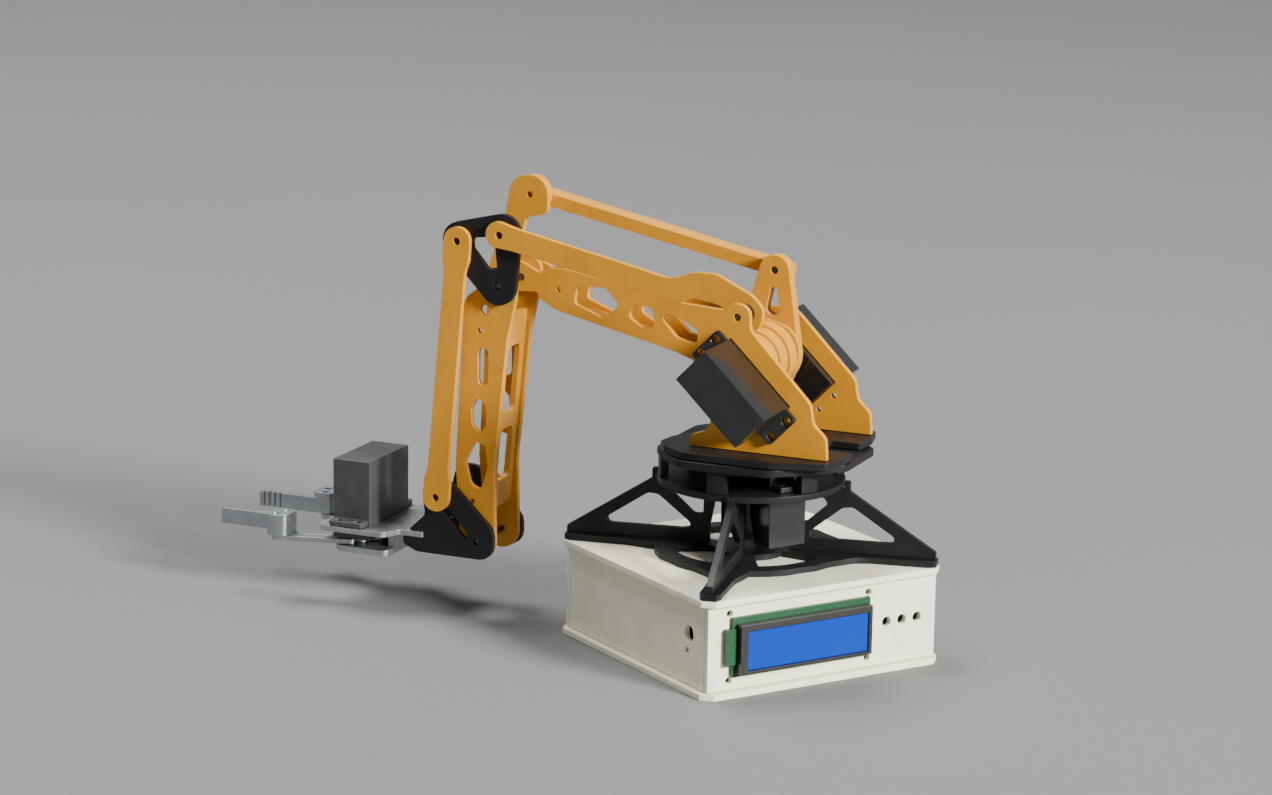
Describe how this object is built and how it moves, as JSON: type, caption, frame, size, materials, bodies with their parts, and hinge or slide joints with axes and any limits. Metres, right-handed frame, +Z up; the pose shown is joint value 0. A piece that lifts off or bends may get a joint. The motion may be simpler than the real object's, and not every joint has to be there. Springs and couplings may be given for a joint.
{
  "type": "desktop robot arm",
  "caption": "Desktop four-axis parallel-link robot arm: servo-driven sheet arms and a parallel-jaw claw on a turntable above a square control box with a character display.",
  "frame": {"origin": "centre of the control box's underside, on the table", "axes": "+Z up, -Y out of the display panel, +X to the right as the display is read; the arm is stored swung to the back left, 124.8 degrees about +Z from +X"},
  "size_m": [0.2365, 0.3027, 0.2112],
  "materials": {
    "orange_acrylic": "laser-cut 3 mm sheet, satin gloss",
    "black_acrylic": "laser-cut 3 mm sheet, satin gloss",
    "cream_acrylic": "laser-cut 3 mm sheet, satin",
    "servo_case": "moulded nylon, fine texture",
    "grey_servo_case": "moulded nylon, fine texture",
    "claw_metal": "satin anodised sheet",
    "pin_steel": "dark machined steel",
    "circuit_board": "green solder mask",
    "display_frame": "dark painted",
    "display_glass": "glossy backlit panel"
  },
  "bodies": {
    "base": {"box_floor": "cream_acrylic", "box_front": "cream_acrylic", "box_back": "cream_acrylic", "box_left": "cream_acrylic", "box_right": "cream_acrylic", "box_lid": "cream_acrylic", "display_board": "circuit_board", "display_frame": "display_frame", "display_screen": "display_glass", "controller_board": "circuit_board", "foot_plate": "black_acrylic", "leg_right": "black_acrylic", "leg_back": "black_acrylic", "leg_left": "black_acrylic", "leg_front": "black_acrylic", "deck_plate": "black_acrylic", "waist_servo": "servo_case"},
    "turntable": {"turntable_top": "black_acrylic", "turntable_lower": "black_acrylic", "glide_ring": "black_acrylic", "waist_horn": "pin_steel", "tower_near": "orange_acrylic", "tower_far": "orange_acrylic", "tower_brace": "black_acrylic", "shoulder_servo": "servo_case", "elbow_servo": "servo_case", "level_pin": "pin_steel"},
    "upper_arm": {"upper_arm_near": "orange_acrylic", "upper_arm_far": "orange_acrylic", "upper_arm_web": "orange_acrylic", "shoulder_hub": "orange_acrylic", "shoulder_horn": "pin_steel", "elbow_shaft": "pin_steel"},
    "crank": {"crank_front": "orange_acrylic", "crank_back": "orange_acrylic", "elbow_horn": "pin_steel"},
    "crank_pin": {"crank_pin": "pin_steel"},
    "top_link": {"top_link": "orange_acrylic"},
    "curved_level_link": {"curved_level_link": "orange_acrylic"},
    "rocker": {"rocker": "black_acrylic"},
    "vertical_level_link": {"vertical_level_link": "orange_acrylic"},
    "forearm": {"forearm_near": "orange_acrylic", "forearm_far": "orange_acrylic", "forearm_head_back": "orange_acrylic", "forearm_web": "orange_acrylic", "wrist_shaft": "pin_steel"},
    "wrist": {"wrist_near": "black_acrylic", "wrist_far": "black_acrylic", "wrist_cross": "black_acrylic", "claw_top_plate": "claw_metal", "claw_bracket": "claw_metal", "claw_servo": "grey_servo_case"},
    "claw_lever_near": {"claw_lever_near": "claw_metal"},
    "claw_lever_far": {"claw_lever_far": "claw_metal"},
    "claw_link_near": {"claw_link_near": "claw_metal"},
    "claw_link_far": {"claw_link_far": "claw_metal"},
    "claw_finger_near": {"claw_finger_near": "claw_metal"},
    "claw_finger_far": {"claw_finger_far": "claw_metal"}
  },
  "joints": [
    {"name": "waist", "type": "hinge", "parent": "base", "child": "turntable", "pos_m": [0, 0, 0.097], "axis": [0, 0, 1], "range_deg": [-120, 120]},
    {"name": "shoulder", "type": "hinge", "parent": "turntable", "child": "upper_arm", "pos_m": [0.0008, -0.00115, 0.138], "axis": [-0.8211, -0.5707, 0], "range_deg": [-26, 8]},
    {"name": "elbow_drive", "type": "hinge", "parent": "turntable", "child": "crank", "pos_m": [0.0008, -0.00115, 0.138], "axis": [-0.8211, -0.5707, 0], "range_deg": [-28, 8]},
    {"name": "crank_pin_turn", "type": "hinge", "parent": "crank", "child": "crank_pin", "pos_m": [0.01789, 0.00756, 0.1772], "axis": [-0.8211, -0.5707, 0], "range_deg": [-8, 28]},
    {"name": "top_link_turn", "type": "hinge", "parent": "crank_pin", "child": "top_link", "pos_m": [0.02035, 0.00927, 0.1772], "axis": [-0.8211, -0.5707, 0], "range_deg": [-26, 8]},
    {"name": "curved_link_turn", "type": "hinge", "parent": "turntable", "child": "curved_level_link", "pos_m": [-0.01309, -0.01324, 0.1628], "axis": [-0.8211, -0.5707, 0], "range_deg": [-26, 8]},
    {"name": "rocker_turn", "type": "hinge", "parent": "upper_arm", "child": "rocker", "pos_m": [-0.08243, 0.0925, 0.1628], "axis": [-0.8211, -0.5707, 0], "range_deg": [-8, 26]},
    {"name": "elbow", "type": "hinge", "parent": "rocker", "child": "forearm", "pos_m": [-0.0702, 0.101, 0.1628], "axis": [-0.8211, -0.5707, 0], "range_deg": [-28, 8]},
    {"name": "vertical_link_turn", "type": "hinge", "parent": "rocker", "child": "vertical_level_link", "pos_m": [-0.09652, 0.10682, 0.1829], "axis": [-0.8211, -0.5707, 0], "range_deg": [-28, 8]},
    {"name": "wrist", "type": "hinge", "parent": "forearm", "child": "wrist", "pos_m": [-0.07625, 0.10971, 0.0381], "axis": [-0.8211, -0.5707, 0], "range_deg": [-8, 28]},
    {"name": "claw_grip", "type": "hinge", "parent": "wrist", "child": "claw_lever_near", "pos_m": [-0.12086, 0.15786, 0.03], "axis": [0, 0, -1], "range_deg": [-6, 25]},
    {"name": "claw_far_lever_turn", "type": "hinge", "parent": "wrist", "child": "claw_lever_far", "pos_m": [-0.10386, 0.16967, 0.03], "axis": [0, 0, -1], "range_deg": [-25, 6]},
    {"name": "claw_near_link_turn", "type": "hinge", "parent": "wrist", "child": "claw_link_near", "pos_m": [-0.12765, 0.15606, 0.03], "axis": [0, 0, -1], "range_deg": [-6, 25]},
    {"name": "claw_far_link_turn", "type": "hinge", "parent": "wrist", "child": "claw_link_far", "pos_m": [-0.09981, 0.17541, 0.03], "axis": [0, 0, -1], "range_deg": [-25, 6]},
    {"name": "claw_near_finger_turn", "type": "hinge", "parent": "claw_lever_near", "child": "claw_finger_near", "pos_m": [-0.1489, 0.18148, 0.036], "axis": [0, 0, -1], "range_deg": [-25, 6]},
    {"name": "claw_far_finger_turn", "type": "hinge", "parent": "claw_lever_far", "child": "claw_finger_far", "pos_m": [-0.11622, 0.20419, 0.036], "axis": [0, 0, -1], "range_deg": [-6, 25]}
  ],
  "couplings": [
    {"joint": "rocker_turn", "follows": "shoulder", "ratio": -1},
    {"joint": "curved_link_turn", "follows": "shoulder", "ratio": 1},
    {"joint": "top_link_turn", "follows": "shoulder", "ratio": 1},
    {"joint": "crank_pin_turn", "follows": "elbow_drive", "ratio": -1},
    {"joint": "elbow", "follows": "elbow_drive", "ratio": 1},
    {"joint": "vertical_link_turn", "follows": "elbow_drive", "ratio": 1},
    {"joint": "wrist", "follows": "elbow_drive", "ratio": -1},
    {"joint": "claw_far_lever_turn", "follows": "claw_grip", "ratio": -1},
    {"joint": "claw_near_link_turn", "follows": "claw_grip", "ratio": 1},
    {"joint": "claw_far_link_turn", "follows": "claw_grip", "ratio": -1},
    {"joint": "claw_near_finger_turn", "follows": "claw_grip", "ratio": -1},
    {"joint": "claw_far_finger_turn", "follows": "claw_grip", "ratio": 1}
  ]
}
